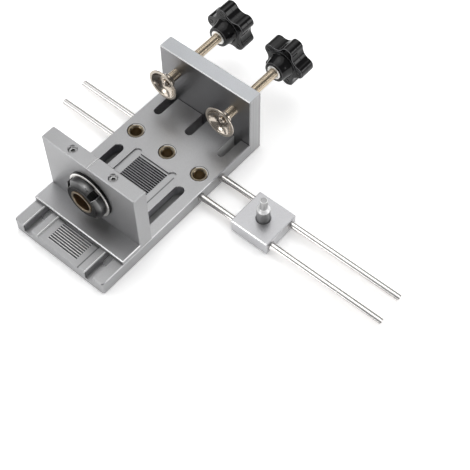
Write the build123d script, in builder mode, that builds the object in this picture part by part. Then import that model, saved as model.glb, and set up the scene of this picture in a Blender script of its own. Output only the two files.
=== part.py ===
"""Self centring doweling jig, in millimetres.

A flat base carries a row of three dowel bushes.  A board stands on the base between a sliding
front jaw and two screw-driven pressure pads on the rear plate.  The jaw also holds the large
bush for cam fittings, and two guide rods through the base carry a stop block with a locating pin.

X runs across the base, Y from its front to its rear and Z up.  The origin is the centre of the
footprint of base and rear plate, on the underside.
"""

from build123d import *
from math import cos, pi
import os

os.makedirs("parts", exist_ok=True)

# --- base plate and rear plate ---------------------------------------------------------------
base_thickness = 12.5
corner_radius = 2.0
edge_break = 0.6
rear_thickness = 12.5
rear_height = 61.5

# --- dowel bushes ----------------------------------------------------------------------------
bush_setback = 115.6          # from the front edge to the bush row
bush_to_plate = 44.4          # from the bush row to the rear plate
bush_pitch = 32.0
bush_margin = 12.0            # from the outer bushes' axes to the base's sides
dowel_bush_diameter = 14.0
dowel_bush_bore = 8.1
dowel_flange_diameter = 16.4
dowel_flange_height = 3.0

# --- slots, recess and index rack in the base --------------------------------------------------
jaw_slot_offset = 30.7        # from the middle of the base to each jaw slot
jaw_slot_width = 8.4
jaw_slot_floor = 5.0          # left below the slots where no nut channel opens them
channel_width = 13.0          # nut channel below each jaw slot
channel_depth = 6.0
channel_start = 22.5
channel_wall = 1.5            # from the channel's round end to the front guide rod
slot_past_channel = 1.5
recess_width = 41.4
recess_depth = 1.5
recess_to_bushes = 13.8
relief_width = 6.5            # round ended cutter paths at both sides of the rack
rack_pitch = 2.0
rack_start = 5.3              # from the front edge to the first groove
groove_width = 1.4
groove_depth = 0.7
sight_slot_width = 7.2
sight_slot_reach = 19.2       # from the rear plate to the centre of the round end

# --- front jaw -------------------------------------------------------------------------------
jaw_index = 20                # groove that the jaw's middle stands over
jaw_thickness = 12.0
jaw_height = 57.1
foot_length = 17.8
foot_thickness = 4.3
slide_gap = 0.1               # between faces that slide on each other
guide_height = 4.0            # round guides under the jaw that run in its slots
mark_width = 1.0
mark_depth = 0.5
jaw_bolt_diameter = 6.0
jaw_bolt_reach = 14.0
jaw_bolt_head = 10.0          # across the flats
jaw_bolt_head_height = 4.0
jaw_washer_diameter = 12.0
jaw_washer_thickness = 1.2

# --- index key that drops into the rack --------------------------------------------------------
key_length = 8.0
key_ledge = 3.3               # shoulder at each side, outside the recess
key_height = 5.0
key_lift = 0.15               # from the rack's tips to the key's teeth, as shown
key_drop = 0.7                # one turn of the index screws
key_fit = 0.2
index_screw_offset = 19.2
index_head_diameter = 6.0
index_head_height = 3.5
index_head_sink = 1.5
index_shank_diameter = 4.4
index_thread_diameter = 4.0
index_thread_length = 5.0
index_socket = 2.5

# --- cam bush and what clamps it in the jaw ------------------------------------------------------
carrier_diameter = 24.0
carrier_flange_diameter = 30.0
carrier_flange_height = 3.0
cam_bush_diameter = 19.2
cam_bush_bore = 15.1
cam_bush_mouth = 0.5
cam_bush_proud = 0.6
collar_diameter = 38.8
collar_thickness = 1.5
bright_ring_diameter = 38.0
bright_ring_thickness = 1.0
ring_nut_diameter = 34.4
ring_nut_face_diameter = 27.0
ring_nut_length = 7.4
ring_nut_chamfer = 2.6
ring_nut_slots = 4
ring_nut_slot_width = 6.0
ring_nut_slot_depth = 3.2
ring_nut_turn = 52.0          # degrees from level to the first slot

# --- clamp screws, pads and knobs ----------------------------------------------------------------
clamp_offset = 27.9
clamp_height = 42.1
clamp_screw_diameter = 7.8
clamp_gap = 16.0              # from the pad's rim to the rear plate
pad_diameter = 26.5
pad_wall = 1.2
pad_depth = 4.6
pad_floor_diameter = 9.0
pad_rim = 2.0
pad_hub_diameter = 11.0
pad_hub_length = 3.0
journal_diameter = 5.0
journal_gap = 0.1
pad_screw_head_diameter = 6.0
pad_screw_head_height = 1.8
pad_screw_thread = 2.5
pad_screw_length = 6.0
knob_gap = 34.5               # from the rear plate to the knob's hub
hub_diameter = 17.4
hub_root_diameter = 20.6
hub_length = 10.0
knob_diameter = 38.8
knob_thickness = 14.0
knob_lobes = 5
knob_valley_radius = 9.0      # of the finger hollows between the lobes
knob_valley_floor = 14.1      # from the knob's axis
knob_lobe_rounding = 4.5
knob_rounding = 1.8
knob_turns = {"left": 36.0, "right": 3.4}    # degrees from level to a lobe
insert_diameter = 12.0
insert_length = 14.0
insert_proud = 0.5

# --- guide rods, stop block and locating pin -----------------------------------------------------
rod_diameter = 6.0
rod_length = 306.8
rod_overhangs = {"front": 54.5, "rear": 56.0}    # past the left side of the base
rod_wall = 1.6                # between a rod and the dowel bushes
rod_lock_offset = 16.0
rod_lock_diameter = 4.0
block_length = 33.6
block_wall = 2.2              # outside each rod
block_gap = 32.8              # from the base to the block
block_lift = 0.3
pin_diameter = 10.0
pin_reach = 11.0              # full diameter above the block
pin_shoulder = 2.4
pin_tip_diameter = 5.8
pin_tip_length = 8.8
pin_tail_diameter = 8.0
pin_tail_length = 4.0
pin_floor = 0.8               # from the block's underside to the pin's end
pin_mouth = 0.8
block_screw_diameter = 4.0

# --- fasteners between base and rear plate -------------------------------------------------------
plate_screw_offset = 16.0
plate_screw_diameter = 5.0
plate_screw_reach = 14.0
plate_head_diameter = 8.5
plate_head_height = 5.0
plate_head_gap = 0.4
plate_socket = 4.0
dowel_step = 8.0              # from a plate screw to the dowel pin beside it
dowel_diameter = 4.0
dowel_length = 16.0

# --- clearances ------------------------------------------------------------------------------
running = 0.05                # radial, for a shaft that turns or slides in a bore
socket_depth_share = 0.55     # of a screw head's height
lobe_fill = 0.95              # of the rounding at which a knob's lobe is one arc
sides = {"left": -1, "right": 1}

# --- sizes that follow from others -------------------------------------------------------------
base_width = 2 * (bush_pitch + bush_margin)
base_length = bush_setback + bush_to_plate
jaw_slot_depth = base_thickness - jaw_slot_floor
rod_spacing = dowel_bush_diameter + rod_diameter + 2 * rod_wall
block_width = rod_spacing + rod_diameter + 2 * block_wall
front_rod_setback = bush_setback - rod_spacing / 2
channel_end = front_rod_setback - rod_diameter / 2 - channel_wall - channel_width / 2
jaw_slot_end = channel_end + slot_past_channel
recess_end = bush_setback - recess_to_bushes
sight_slot_end = base_length - sight_slot_reach
key_width = recess_width + 2 * key_ledge
dowel_offset = plate_screw_offset + dowel_step

# --- places worked out from the sizes --------------------------------------------------------------
footprint = base_length + rear_thickness
front_y = -footprint / 2
plate_y = front_y + base_length
back_y = front_y + footprint
bush_y = front_y + bush_setback
half_width = base_width / 2
rod_z = base_thickness / 2
recess_floor = base_thickness - recess_depth
bush_places = [(step * bush_pitch, bush_y) for step in (-1, 0, 1)]
rod_rows = {"front": bush_y - rod_spacing / 2, "rear": bush_y + rod_spacing / 2}

jaw_middle_y = front_y + rack_start + jaw_index * rack_pitch
jaw_front_y = jaw_middle_y - jaw_thickness / 2
jaw_back_y = jaw_middle_y + jaw_thickness / 2
jaw_bottom = base_thickness + slide_gap
jaw_top = jaw_bottom + jaw_height
cam_z = base_thickness + jaw_height / 2

pad_front_y = plate_y - clamp_gap
journal_y = pad_front_y + pad_depth + pad_hub_length
knob_y = back_y + knob_gap
star_y = knob_y + hub_length

block_left_x = half_width + block_gap
block_x = block_left_x + block_length / 2
block_height = base_thickness - block_lift
block_top = block_lift + block_height


def facing_front(y, x=0.0, z=0.0):
    """A plane square to Y: its sketch reads X to the right and Z up, and it extrudes forwards."""
    return Plane(origin=(x, y, z), x_dir=(1, 0, 0), z_dir=(0, -1, 0))


def facing_right(x, y=0.0, z=0.0):
    """A plane square to X: its sketch reads Y to the right and Z up, and it extrudes to +X."""
    return Plane(origin=(x, y, z), x_dir=(0, 1, 0), z_dir=(1, 0, 0))


def save(piece, name):
    """Label a finished piece and write it under that name."""
    piece.label = name
    export_step(piece, f"parts/{name}.step")


def round_edges(part, radius):
    """The circular edges of one radius, such as the mouths of a row of bores."""
    circles = part.edges().filter_by(GeomType.CIRCLE)
    return [edge for edge in circles if abs(edge.radius - radius) < 1e-3]


def rim_edges(part, z, skip_y):
    """The straight outline edges of a flat face at height z, without the one at skip_y."""
    face = part.faces().filter_by(Axis.Z).sort_by(lambda f: abs(f.center().Z - z))[0]
    return [edge for edge in face.outer_wire().edges() if abs(edge.center().Y - skip_y) > 1e-3]


# === base plate ================================================================================

rack_teeth = int((recess_end - rack_start - groove_width / 2) / rack_pitch) + 1
rack_width = recess_width - 2 * relief_width
relief_offset = (recess_width - relief_width) / 2
bore_radius = rod_diameter / 2 + running

with BuildPart() as base_plate:
    with BuildSketch():
        with Locations((0, front_y + base_length / 2)):
            Rectangle(base_width, base_length)
    extrude(amount=base_thickness)
    fillet(base_plate.edges().filter_by(Axis.Z).group_by(Axis.Y)[0], corner_radius)
    chamfer(rim_edges(base_plate, base_thickness, plate_y), edge_break)
    chamfer(rim_edges(base_plate, 0, plate_y), edge_break)

    # jaw slots from above, open at the front, and the nut channels below them
    with BuildSketch(Plane.XY.offset(base_thickness)):
        for side in sides.values():
            with Locations((side * jaw_slot_offset, front_y + jaw_slot_end / 2 - 1)):
                Rectangle(jaw_slot_width, jaw_slot_end + 2)
            with Locations((side * jaw_slot_offset, front_y + jaw_slot_end)):
                Circle(jaw_slot_width / 2)
    extrude(amount=-jaw_slot_depth, mode=Mode.SUBTRACT)
    with BuildSketch():
        for side in sides.values():
            with Locations((side * jaw_slot_offset, front_y + (channel_start + channel_end) / 2)):
                SlotCenterToCenter(channel_end - channel_start, channel_width, rotation=90)
    extrude(amount=channel_depth, mode=Mode.SUBTRACT)

    # shallow recess, its round ended reliefs and the index rack on its floor
    with BuildSketch(Plane.XY.offset(base_thickness)):
        with Locations((0, front_y + recess_end / 2 - 1)):
            Rectangle(recess_width, recess_end + 2)
        for side in sides.values():
            with Locations((side * relief_offset, front_y + recess_end)):
                Circle(relief_width / 2)
    extrude(amount=-recess_depth, mode=Mode.SUBTRACT)
    with BuildSketch(facing_right(-rack_width / 2)):
        for tooth in range(rack_teeth):
            with Locations((front_y + rack_start + tooth * rack_pitch, recess_floor)):
                Polygon((-groove_width / 2, 0), (0, -groove_depth), (groove_width / 2, 0), align=None)
    extrude(amount=rack_width, mode=Mode.SUBTRACT)

    # stepped holes for the dowel bushes, which go in from below
    with BuildSketch():
        with Locations(*bush_places):
            Circle(dowel_bush_diameter / 2)
    extrude(amount=base_thickness, mode=Mode.SUBTRACT)
    with BuildSketch():
        with Locations(*bush_places):
            Circle(dowel_flange_diameter / 2)
    extrude(amount=dowel_flange_height, mode=Mode.SUBTRACT)

    # sight slots behind the bushes, open to the rear plate
    sight_length = base_length - sight_slot_end
    with BuildSketch():
        for x, _ in bush_places:
            with Locations((x, front_y + sight_slot_end + sight_length / 2 + 1)):
                Rectangle(sight_slot_width, sight_length + 2)
            with Locations((x, front_y + sight_slot_end)):
                Circle(sight_slot_width / 2)
    extrude(amount=base_thickness, mode=Mode.SUBTRACT)

    # cross bores for the guide rods, and the screws that lock them from below
    with BuildSketch(facing_right(-half_width)):
        for y in rod_rows.values():
            with Locations((y, rod_z)):
                Circle(bore_radius)
    extrude(amount=base_width, mode=Mode.SUBTRACT)
    chamfer(round_edges(base_plate, bore_radius), edge_break)
    with BuildSketch():
        for y in rod_rows.values():
            with Locations((rod_lock_offset, y)):
                Circle(rod_lock_diameter / 2)
    extrude(amount=rod_z, mode=Mode.SUBTRACT)

    # blind holes in the rear end for the plate screws and dowels
    with BuildSketch(facing_front(plate_y)):
        for side in sides.values():
            with Locations((side * plate_screw_offset, rod_z)):
                Circle(plate_screw_diameter / 2)
    extrude(amount=plate_screw_reach, mode=Mode.SUBTRACT)
    with BuildSketch(facing_front(plate_y)):
        for side in sides.values():
            with Locations((side * dowel_offset, rod_z)):
                Circle(dowel_diameter / 2)
    extrude(amount=dowel_length / 2, mode=Mode.SUBTRACT)

save(base_plate.part, "base_plate")

# === rear plate ================================================================================

with BuildPart() as rear_plate:
    with BuildSketch():
        with Locations((0, plate_y + rear_thickness / 2)):
            Rectangle(base_width, rear_thickness)
    extrude(amount=rear_height)
    chamfer(rear_plate.edges(), edge_break)
    with BuildSketch(facing_front(back_y)):
        for side in sides.values():
            with Locations((side * clamp_offset, clamp_height)):
                Circle(clamp_screw_diameter / 2 + running)
    extrude(amount=rear_thickness, mode=Mode.SUBTRACT)
    with BuildSketch(facing_front(back_y)):
        for side in sides.values():
            with Locations((side * plate_screw_offset, rod_z)):
                Circle(plate_screw_diameter / 2)
    extrude(amount=rear_thickness, mode=Mode.SUBTRACT)
    with BuildSketch(facing_front(back_y)):
        for side in sides.values():
            with Locations((side * plate_screw_offset, rod_z)):
                Circle(plate_head_diameter / 2)
    extrude(amount=plate_head_height + plate_head_gap, mode=Mode.SUBTRACT)
    with BuildSketch(facing_front(plate_y)):
        for side in sides.values():
            with Locations((side * dowel_offset, rod_z)):
                Circle(dowel_diameter / 2)
    extrude(amount=-dowel_length / 2, mode=Mode.SUBTRACT)

save(rear_plate.part, "rear_plate")

plate_head_y = back_y - plate_head_gap
plate_neck = rear_thickness - plate_head_gap - plate_head_height

with BuildPart() as rear_plate_screws:
    for side in sides.values():
        with BuildSketch(facing_front(plate_head_y)):
            with Locations((side * plate_screw_offset, rod_z)):
                Circle(plate_head_diameter / 2)
        extrude(amount=plate_head_height)
        with BuildSketch(facing_front(plate_head_y)):
            with Locations((side * plate_screw_offset, rod_z)):
                RegularPolygon(plate_socket / 2, 6, major_radius=False)
        extrude(amount=plate_head_height * socket_depth_share, mode=Mode.SUBTRACT)
        with BuildSketch(facing_front(plate_head_y - plate_head_height)):
            with Locations((side * plate_screw_offset, rod_z)):
                Circle(plate_screw_diameter / 2)
        extrude(amount=plate_neck + plate_screw_reach - edge_break)

save(rear_plate_screws.part, "rear_plate_screws")

with BuildPart() as rear_plate_dowels:
    with BuildSketch(facing_front(plate_y + dowel_length / 2)):
        for side in sides.values():
            with Locations((side * dowel_offset, rod_z)):
                Circle(dowel_diameter / 2)
    extrude(amount=dowel_length)

save(rear_plate_dowels.part, "rear_plate_dowels")

# === dowel bushes and rod lock screws ============================================================

for name, (x, y) in zip(("left", "centre", "right"), bush_places):
    with BuildPart() as dowel_bush:
        with BuildSketch():
            with Locations((x, y)):
                Circle(dowel_flange_diameter / 2)
        extrude(amount=dowel_flange_height)
        with BuildSketch():
            with Locations((x, y)):
                Circle(dowel_bush_diameter / 2)
        extrude(amount=base_thickness)
        with BuildSketch():
            with Locations((x, y)):
                Circle(dowel_bush_bore / 2)
        extrude(amount=base_thickness, mode=Mode.SUBTRACT)
    save(dowel_bush.part, f"dowel_bush_{name}")

with BuildPart() as rod_lock_screws:
    for y in rod_rows.values():
        lock_height = rod_z - rod_diameter / 2 - slide_gap - edge_break
        with BuildSketch(Plane.XY.offset(edge_break)):
            with Locations((rod_lock_offset, y)):
                Circle(rod_lock_diameter / 2)
                RegularPolygon(rod_lock_diameter / 4, 6, major_radius=False, mode=Mode.SUBTRACT)
        extrude(amount=lock_height / 2)
        with BuildSketch(Plane.XY.offset(edge_break + lock_height / 2)):
            with Locations((rod_lock_offset, y)):
                Circle(rod_lock_diameter / 2)
        extrude(amount=lock_height / 2)

save(rod_lock_screws.part, "rod_lock_screws")

# === front jaw =================================================================================

key_bottom = recess_floor + key_lift
key_tooth = groove_depth - key_lift / 2
key_top = key_bottom + key_tooth + recess_depth + key_height
key_shoulder = base_thickness + slide_gap + key_drop + key_fit
bolt_hole_depth = jaw_bolt_reach + edge_break
index_bore_top = jaw_top - index_head_sink - index_head_height

with BuildPart() as front_jaw:
    with BuildSketch(facing_right(-half_width)):
        with BuildLine():
            Polyline(
                (jaw_front_y - foot_length, jaw_bottom),
                (jaw_back_y, jaw_bottom),
                (jaw_back_y, jaw_top),
                (jaw_front_y, jaw_top),
                (jaw_front_y, jaw_bottom + foot_thickness),
                (jaw_front_y - foot_length, jaw_bottom + foot_thickness),
                close=True,
            )
        make_face()
    extrude(amount=base_width)
    upper = [e for e in front_jaw.edges() if e.center().Z > jaw_bottom + foot_thickness - 1e-3]
    corner = [e for e in upper if abs(e.center().Y - jaw_front_y) < 1e-3
              and abs(e.center().Z - jaw_bottom - foot_thickness) < 1e-3]
    chamfer([e for e in upper if e not in corner], edge_break)

    # round guides that run in the jaw slots
    with BuildSketch(Plane.XY.offset(jaw_bottom)):
        for side in sides.values():
            with Locations((side * jaw_slot_offset, jaw_middle_y)):
                Circle(jaw_slot_width / 2 - slide_gap)
    extrude(amount=-guide_height)
    with BuildSketch(Plane.XY.offset(jaw_bottom - guide_height)):
        for side in sides.values():
            with Locations((side * jaw_slot_offset, jaw_middle_y)):
                Circle(jaw_bolt_diameter / 2)
    extrude(amount=guide_height + bolt_hole_depth, mode=Mode.SUBTRACT)

    # hole for the bush carrier, with the seat of its flange at the back
    with BuildSketch(facing_front(jaw_back_y)):
        with Locations((0, cam_z)):
            Circle(carrier_diameter / 2)
    extrude(amount=jaw_thickness, mode=Mode.SUBTRACT)
    with BuildSketch(facing_front(jaw_back_y)):
        with Locations((0, cam_z)):
            Circle(carrier_flange_diameter / 2)
    extrude(amount=carrier_flange_height + slide_gap, mode=Mode.SUBTRACT)

    # pocket for the index key, and the bores of its screws down from the top
    with BuildSketch(Plane.XY.offset(jaw_bottom)):
        with Locations((0, jaw_middle_y)):
            Rectangle(key_width + 2 * key_fit, key_length + 2 * key_fit)
    extrude(amount=key_top + key_fit - jaw_bottom, mode=Mode.SUBTRACT)
    with BuildSketch(Plane.XY.offset(jaw_top)):
        for side in sides.values():
            with Locations((side * index_screw_offset, jaw_middle_y)):
                Circle(index_head_diameter / 2 + running)
    extrude(amount=index_bore_top - jaw_top, mode=Mode.SUBTRACT)
    with BuildSketch(Plane.XY.offset(index_bore_top)):
        for side in sides.values():
            with Locations((side * index_screw_offset, jaw_middle_y)):
                Circle(index_shank_diameter / 2 + running)
    extrude(amount=key_top - index_bore_top, mode=Mode.SUBTRACT)
    mouths = round_edges(front_jaw, index_head_diameter / 2 + running)
    chamfer([e for e in mouths if e.center().Z > jaw_top - 1e-3], edge_break)

    # centre mark across the top
    with BuildSketch(facing_front(jaw_back_y)):
        with Locations((0, jaw_top)):
            Polygon((-mark_width / 2, 0), (0, -mark_depth), (mark_width / 2, 0), align=None)
    extrude(amount=jaw_thickness, mode=Mode.SUBTRACT)

save(front_jaw.part, "front_jaw")

# === jaw bolts and washers, from below ===========================================================

washer_top = channel_depth - slide_gap
washer_bottom = washer_top - jaw_washer_thickness
bolt_top = jaw_bottom + jaw_bolt_reach

for name, side in sides.items():
    place = (side * jaw_slot_offset, jaw_middle_y)
    with BuildPart() as jaw_bolt:
        with BuildSketch(Plane.XY.offset(washer_bottom)):
            with Locations(place):
                RegularPolygon(jaw_bolt_head / 2, 6, major_radius=False)
        extrude(amount=-jaw_bolt_head_height)
        with BuildSketch(Plane.XY.offset(washer_bottom)):
            with Locations(place):
                Circle(jaw_bolt_diameter / 2)
        extrude(amount=bolt_top - washer_bottom)
    save(jaw_bolt.part, f"jaw_bolt_{name}")

    with BuildPart() as jaw_washer:
        with BuildSketch(Plane.XY.offset(washer_bottom)):
            with Locations(place):
                Circle(jaw_washer_diameter / 2)
                Circle(jaw_bolt_diameter / 2, mode=Mode.SUBTRACT)
        extrude(amount=jaw_washer_thickness)
    save(jaw_washer.part, f"jaw_washer_{name}")

# === index key and its screws ====================================================================

key_teeth = int(key_length / rack_pitch) - 1
key_body_bottom = key_bottom + key_tooth

with BuildPart() as index_key:
    with BuildSketch(Plane.XY.offset(key_body_bottom)):
        with Locations((0, jaw_middle_y)):
            Rectangle(recess_width - 2 * key_fit, key_length)
    extrude(amount=key_shoulder - key_body_bottom)
    with BuildSketch(Plane.XY.offset(key_shoulder)):
        with Locations((0, jaw_middle_y)):
            Rectangle(key_width, key_length)
    extrude(amount=key_top - key_shoulder)
    with BuildSketch(facing_right(-rack_width / 2 + key_fit)):
        for tooth in range(key_teeth):
            step = tooth - (key_teeth - 1) / 2
            with Locations((jaw_middle_y + step * rack_pitch, key_body_bottom)):
                Polygon((-key_tooth, 0), (0, -key_tooth), (key_tooth, 0), align=None)
    extrude(amount=rack_width - 2 * key_fit)
    with BuildSketch(Plane.XY.offset(key_top)):
        for side in sides.values():
            with Locations((side * index_screw_offset, jaw_middle_y)):
                Circle(index_thread_diameter / 2 + running)
    extrude(amount=-index_thread_length - key_fit, mode=Mode.SUBTRACT)

save(index_key.part, "index_key")

index_head_bottom = index_bore_top + running

for name, side in sides.items():
    place = (side * index_screw_offset, jaw_middle_y)
    with BuildPart() as index_screw:
        with BuildSketch(Plane.XY.offset(index_head_bottom)):
            with Locations(place):
                Circle(index_head_diameter / 2)
        extrude(amount=index_head_height)
        with BuildSketch(Plane.XY.offset(index_head_bottom + index_head_height)):
            with Locations(place):
                RegularPolygon(index_socket / 2, 6, major_radius=False)
        extrude(amount=-index_head_height * socket_depth_share, mode=Mode.SUBTRACT)
        with BuildSketch(Plane.XY.offset(index_head_bottom)):
            with Locations(place):
                Circle(index_shank_diameter / 2)
        extrude(amount=key_top + key_fit - index_head_bottom)
        with BuildSketch(Plane.XY.offset(key_top + key_fit)):
            with Locations(place):
                Circle(index_thread_diameter / 2)
        extrude(amount=-index_thread_length - key_fit + key_drop)
    save(index_screw.part, f"index_screw_{name}")

# === cam bush, its carrier, and the ring nut =======================================================

collar_y = jaw_front_y
bright_ring_y = collar_y - collar_thickness
ring_nut_y = bright_ring_y - bright_ring_thickness
ring_nut_front_y = ring_nut_y - ring_nut_length
carrier_back_y = jaw_back_y - slide_gap
cam_front_y = ring_nut_front_y - cam_bush_proud
cam_axis = Axis((0, 0, cam_z), (0, 1, 0))

with BuildPart() as bush_carrier:
    with BuildSketch(facing_front(carrier_back_y)):
        with Locations((0, cam_z)):
            Circle(carrier_flange_diameter / 2)
            Circle(cam_bush_diameter / 2, mode=Mode.SUBTRACT)
    extrude(amount=carrier_flange_height)
    with BuildSketch(facing_front(carrier_back_y - carrier_flange_height)):
        with Locations((0, cam_z)):
            Circle(carrier_diameter / 2)
            Circle(cam_bush_diameter / 2, mode=Mode.SUBTRACT)
    extrude(amount=carrier_back_y - carrier_flange_height - ring_nut_front_y)

save(bush_carrier.part, "bush_carrier")

with BuildPart() as cam_bush:
    with BuildSketch(facing_front(carrier_back_y)):
        with Locations((0, cam_z)):
            Circle(cam_bush_diameter / 2)
            Circle(cam_bush_bore / 2, mode=Mode.SUBTRACT)
    extrude(amount=carrier_back_y - cam_front_y)
    mouths = round_edges(cam_bush, cam_bush_bore / 2)
    chamfer([e for e in mouths if e.center().Y < cam_front_y + 1e-3], cam_bush_mouth)

save(cam_bush.part, "cam_bush")

rings = {
    "collar_washer": (collar_y, collar_diameter, collar_thickness),
    "bright_ring": (bright_ring_y, bright_ring_diameter, bright_ring_thickness),
}
for name, (y, diameter, thickness) in rings.items():
    with BuildPart() as ring:
        with BuildSketch(facing_front(y)):
            with Locations((0, cam_z)):
                Circle(diameter / 2)
                Circle(carrier_diameter / 2, mode=Mode.SUBTRACT)
        extrude(amount=thickness)
    save(ring.part, name)

slot_reach = ring_nut_diameter / 2
slot_floor = slot_reach - ring_nut_slot_depth

with BuildPart() as ring_nut:
    with BuildSketch(facing_right(0, 0, cam_z)):
        with BuildLine():
            Polyline(
                (ring_nut_y, carrier_diameter / 2),
                (ring_nut_y, ring_nut_diameter / 2),
                (ring_nut_front_y + ring_nut_chamfer, ring_nut_diameter / 2),
                (ring_nut_front_y, ring_nut_face_diameter / 2),
                (ring_nut_front_y, carrier_diameter / 2),
                close=True,
            )
        make_face()
    revolve(axis=cam_axis)
    with BuildSketch(facing_front(ring_nut_y, z=cam_z)):
        with PolarLocations(slot_floor + slot_reach / 2, ring_nut_slots, start_angle=ring_nut_turn):
            Rectangle(slot_reach, ring_nut_slot_width)
    extrude(amount=ring_nut_length, mode=Mode.SUBTRACT)

save(ring_nut.part, "ring_nut")

# === clamp screws, pads and knobs ==================================================================

pad_floor_y = pad_front_y + pad_depth - pad_wall
valley_centre = knob_valley_floor + knob_valley_radius
lobe_reach = valley_centre * cos(pi / knob_lobes)
lobe_span = knob_diameter**2 / 4 + valley_centre**2 - knob_diameter * lobe_reach
lobe_limit = (lobe_span - knob_valley_radius**2) / (knob_diameter + 2 * knob_valley_radius - 2 * lobe_reach)
lobe_rounding = min(knob_lobe_rounding, lobe_fill * lobe_limit)

for name, side in sides.items():
    x = side * clamp_offset
    axis = Axis((x, 0, clamp_height), (0, 1, 0))
    screw_start_y = journal_y + journal_gap

    with BuildPart() as pressure_pad:
        with BuildSketch(facing_right(x, 0, clamp_height)):
            with BuildLine():
                Polyline(
                    (pad_floor_y, journal_diameter / 2 + running),
                    (pad_floor_y, pad_floor_diameter / 2),
                    (pad_front_y, pad_diameter / 2 - pad_rim),
                    (pad_front_y, pad_diameter / 2),
                    (pad_front_y + pad_wall, pad_diameter / 2),
                    (pad_front_y + pad_wall, pad_diameter / 2 - pad_rim + pad_wall / 2),
                    (pad_front_y + pad_depth, pad_floor_diameter / 2 + pad_wall / 2),
                    (pad_front_y + pad_depth, pad_hub_diameter / 2),
                    (journal_y, pad_hub_diameter / 2),
                    (journal_y, journal_diameter / 2 + running),
                    close=True,
                )
            make_face()
        revolve(axis=axis)
    save(pressure_pad.part, f"pressure_pad_{name}")

    with BuildPart() as clamp_screw:
        with BuildSketch(facing_front(screw_start_y, x, clamp_height)):
            Circle(clamp_screw_diameter / 2)
        extrude(amount=screw_start_y - knob_y - insert_length)
        chamfer(round_edges(clamp_screw, clamp_screw_diameter / 2), edge_break)
        with BuildSketch(facing_front(screw_start_y, x, clamp_height)):
            Circle(journal_diameter / 2)
        extrude(amount=screw_start_y - pad_floor_y + journal_gap)
        with BuildSketch(facing_front(pad_floor_y - journal_gap, x, clamp_height)):
            Circle(pad_screw_thread / 2)
        extrude(amount=-pad_screw_length, mode=Mode.SUBTRACT)
    save(clamp_screw.part, f"clamp_screw_{name}")

    with BuildPart() as pad_screw:
        with BuildSketch(facing_front(pad_floor_y - journal_gap, x, clamp_height)):
            Circle(pad_screw_head_diameter / 2)
        extrude(amount=pad_screw_head_height)
        crown = pad_screw.faces().filter_by(Axis.Y).sort_by(Axis.Y)[0]
        fillet(crown.edges(), pad_screw_head_height * socket_depth_share)
        with BuildSketch(facing_front(pad_floor_y - journal_gap, x, clamp_height)):
            Circle(pad_screw_thread / 2)
        extrude(amount=-pad_screw_length)
    save(pad_screw.part, f"pad_screw_{name}")

    with BuildPart() as knob_insert:
        with BuildSketch(facing_front(knob_y - insert_proud, x, clamp_height)):
            Circle(insert_diameter / 2)
            Circle(clamp_screw_diameter / 2, mode=Mode.SUBTRACT)
        extrude(amount=-insert_proud - insert_length + edge_break)
    save(knob_insert.part, f"knob_insert_{name}")

    with BuildPart() as clamp_knob:
        with BuildSketch(facing_front(star_y, x, clamp_height)):
            Circle(knob_diameter / 2)
            valley_turn = knob_turns[name] + 180 / knob_lobes
            with PolarLocations(valley_centre, knob_lobes, start_angle=valley_turn):
                Circle(knob_valley_radius, mode=Mode.SUBTRACT)
        extrude(amount=-knob_thickness)
        fillet(clamp_knob.edges().filter_by(Axis.Y), lobe_rounding)
        fillet(clamp_knob.faces().filter_by(Axis.Y).edges(), knob_rounding)
        with BuildSketch(facing_right(x, 0, clamp_height)):
            with BuildLine():
                Polyline(
                    (knob_y, 0),
                    (knob_y, hub_diameter / 2),
                    (star_y, hub_root_diameter / 2),
                    (star_y, 0),
                    close=True,
                )
            make_face()
        revolve(axis=axis)
        chamfer(round_edges(clamp_knob, hub_diameter / 2), edge_break)
        with BuildSketch(facing_front(knob_y, x, clamp_height)):
            Circle(insert_diameter / 2)
        extrude(amount=-insert_length, mode=Mode.SUBTRACT)
    save(clamp_knob.part, f"clamp_knob_{name}")

# === guide rods, stop block and locating pin =======================================================

for name, y in rod_rows.items():
    with BuildPart() as guide_rod:
        with BuildSketch(facing_right(-half_width - rod_overhangs[name], y, rod_z)):
            Circle(rod_diameter / 2)
        extrude(amount=rod_length)
        chamfer(guide_rod.faces().filter_by(Axis.X).edges(), edge_break)
    save(guide_rod.part, f"guide_rod_{name}")

pin_bore = pin_diameter / 2 + running
pin_bottom = block_lift + pin_floor
pin_seat = pin_bottom + pin_tail_length
pin_top = block_top + pin_reach

with BuildPart() as stop_block:
    with BuildSketch(Plane.XY.offset(block_lift)):
        with Locations((block_x, bush_y)):
            Rectangle(block_length, block_width)
    extrude(amount=block_height)
    chamfer(stop_block.edges(), edge_break)
    with BuildSketch(facing_right(block_left_x)):
        for y in rod_rows.values():
            with Locations((y, rod_z)):
                Circle(bore_radius)
    extrude(amount=block_length, mode=Mode.SUBTRACT)
    chamfer(round_edges(stop_block, bore_radius), edge_break)
    with BuildSketch():
        with Locations((block_x, bush_y)):
            Circle(pin_tail_diameter / 2 + running)
    extrude(amount=block_top, mode=Mode.SUBTRACT)
    with BuildSketch(Plane.XY.offset(pin_seat - slide_gap)):
        with Locations((block_x, bush_y)):
            Circle(pin_bore)
    extrude(amount=block_top - pin_seat + slide_gap, mode=Mode.SUBTRACT)
    mouths = round_edges(stop_block, pin_bore)
    chamfer([e for e in mouths if e.center().Z > block_top - 1e-3], pin_mouth)
    with BuildSketch():
        for y in rod_rows.values():
            with Locations((block_x, y)):
                Circle(block_screw_diameter / 2)
    extrude(amount=rod_z, mode=Mode.SUBTRACT)

save(stop_block.part, "stop_block")

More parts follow.
